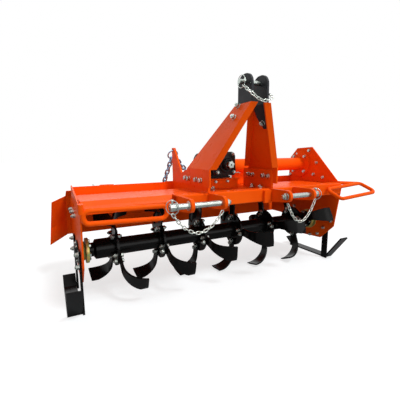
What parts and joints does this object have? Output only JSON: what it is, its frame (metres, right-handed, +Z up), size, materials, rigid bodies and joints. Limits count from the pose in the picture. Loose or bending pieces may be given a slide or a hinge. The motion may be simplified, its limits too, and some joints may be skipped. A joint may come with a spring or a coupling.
{
  "type": "rotary tiller",
  "caption": "Tractor-mounted rotary tiller: a rotor of curved blades under a hood, driven at one side through a gearbox, with a hinged tail board, skids and a three-point hitch mast.",
  "frame": {"origin": "middle of the bounding box, on the floor under the skids", "axes": "+X along the rotor towards the side drive, +Y to the rear and the tail board, +Z up"},
  "size_m": [1.6158, 0.7248, 0.935],
  "materials": {
    "black_casting": "black-painted casting",
    "black_paint": "gloss black enamel",
    "black_plastic": "matt black plastic",
    "blue_zinc": "blue-passivated zinc",
    "bright_zinc": "bright zinc plate",
    "chain_zinc": "bright zinc plate",
    "dark_ear": "satin dark grey paint",
    "orange_paint": "gloss orange enamel",
    "yellow_zinc": "yellow-passivated zinc"
  },
  "bodies": {
    "frame": {"bearing_cap": "black_paint", "deck": "orange_paint", "drive_tube": "orange_paint", "front_beam": "orange_paint", "gearbox": "black_casting", "gearbox_seat": "orange_paint", "guard_loop_left": "orange_paint", "guard_loop_right": "orange_paint", "hinge_ears": "orange_paint", "hinge_rod": "bright_zinc", "hitch_ears_left": "orange_paint", "hitch_ears_right": "orange_paint", "hitch_pin_left": "bright_zinc", "hitch_pin_right": "bright_zinc", "left_end_plate": "orange_paint", "linch_pin_left": "bright_zinc", "linch_pin_right": "bright_zinc", "linch_pin_top": "bright_zinc", "mast_bracket_left": "orange_paint", "mast_bracket_right": "orange_paint", "mast_leg_left": "orange_paint", "mast_leg_right": "orange_paint", "pin_chain_left": "chain_zinc", "pin_chain_right": "chain_zinc", "pin_chain_top": "chain_zinc", "pto_guard": "black_plastic", "right_end_plate": "orange_paint", "rotor_bearing_left": "yellow_zinc", "rotor_bearing_right": "yellow_zinc", "side_drive_case": "orange_paint", "skid_left": "black_paint", "skid_right": "black_paint", "skid_straps_left": "black_paint", "skid_straps_right": "black_paint", "top_link_ear_left": "dark_ear", "top_link_ear_right": "dark_ear", "top_link_pin": "bright_zinc"},
    "rotor": {"blade_flanges": "black_paint", "blade_set_1": "black_paint", "blade_set_2": "black_paint", "blade_set_3": "black_paint", "blade_set_4": "black_paint", "blade_set_5": "black_paint", "blade_set_6": "black_paint", "rotor_tube": "black_paint"},
    "pto_shaft": {"pto_shaft": "bright_zinc"},
    "tail_board": {"board_knuckles": "orange_paint", "chain_lugs": "orange_paint", "tail_board": "orange_paint"},
    "tail_chain": {"tail_chain": "blue_zinc"}
  },
  "joints": [
    {"name": "rotor_spin", "type": "hinge", "parent": "frame", "child": "rotor", "pos_m": [-0.03034, -0.01289, 0.219], "axis": [1, 0, 0], "continuous": true},
    {"name": "pto_spin", "type": "hinge", "parent": "frame", "child": "pto_shaft", "pos_m": [-0.02034, -0.07489, 0.569], "axis": [0, 1, 0], "continuous": true},
    {"name": "board_hinge", "type": "hinge", "parent": "frame", "child": "tail_board", "pos_m": [-0.03034, 0.19111, 0.463], "axis": [1, 0, 0], "range_deg": [0, 50]},
    {"name": "chain_swing", "type": "hinge", "parent": "frame", "child": "tail_chain", "pos_m": [-0.19034, 0.16311, 0.637], "axis": [1, 0, 0], "range_deg": [0, 35]}
  ],
  "couplings": [
    {"joint": "pto_spin", "follows": "rotor_spin", "ratio": 2.5},
    {"joint": "chain_swing", "follows": "board_hinge", "ratio": 0.7}
  ]
}
